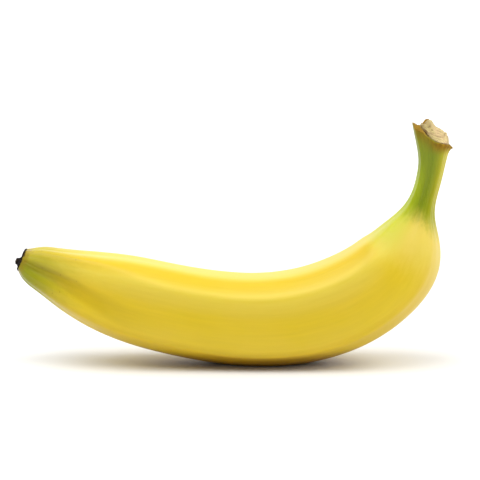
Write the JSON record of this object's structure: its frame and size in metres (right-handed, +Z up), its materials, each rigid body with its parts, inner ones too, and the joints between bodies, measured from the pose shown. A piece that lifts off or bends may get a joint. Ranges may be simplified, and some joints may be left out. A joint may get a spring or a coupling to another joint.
{
  "type": "banana",
  "caption": "Whole unpeeled banana, curved and softly ridged, with a snapped stalk and a dry tip, lying on the belly of its curve.",
  "frame": {"origin": "on the floor, at the middle of the small flat spot on the belly that the fruit rests on", "axes": "+X from the dry tip towards the stalk, +Y across the fruit, away from the picture's side, +Z up"},
  "size_m": [0.1793, 0.038, 0.1011],
  "materials": {
    "peel": "smooth waxy yellow peel with a soft sheen, green at the stalk, black and dry at the tip"
  },
  "bodies": {
    "root": {"banana": "peel"}
  },
  "joints": []
}
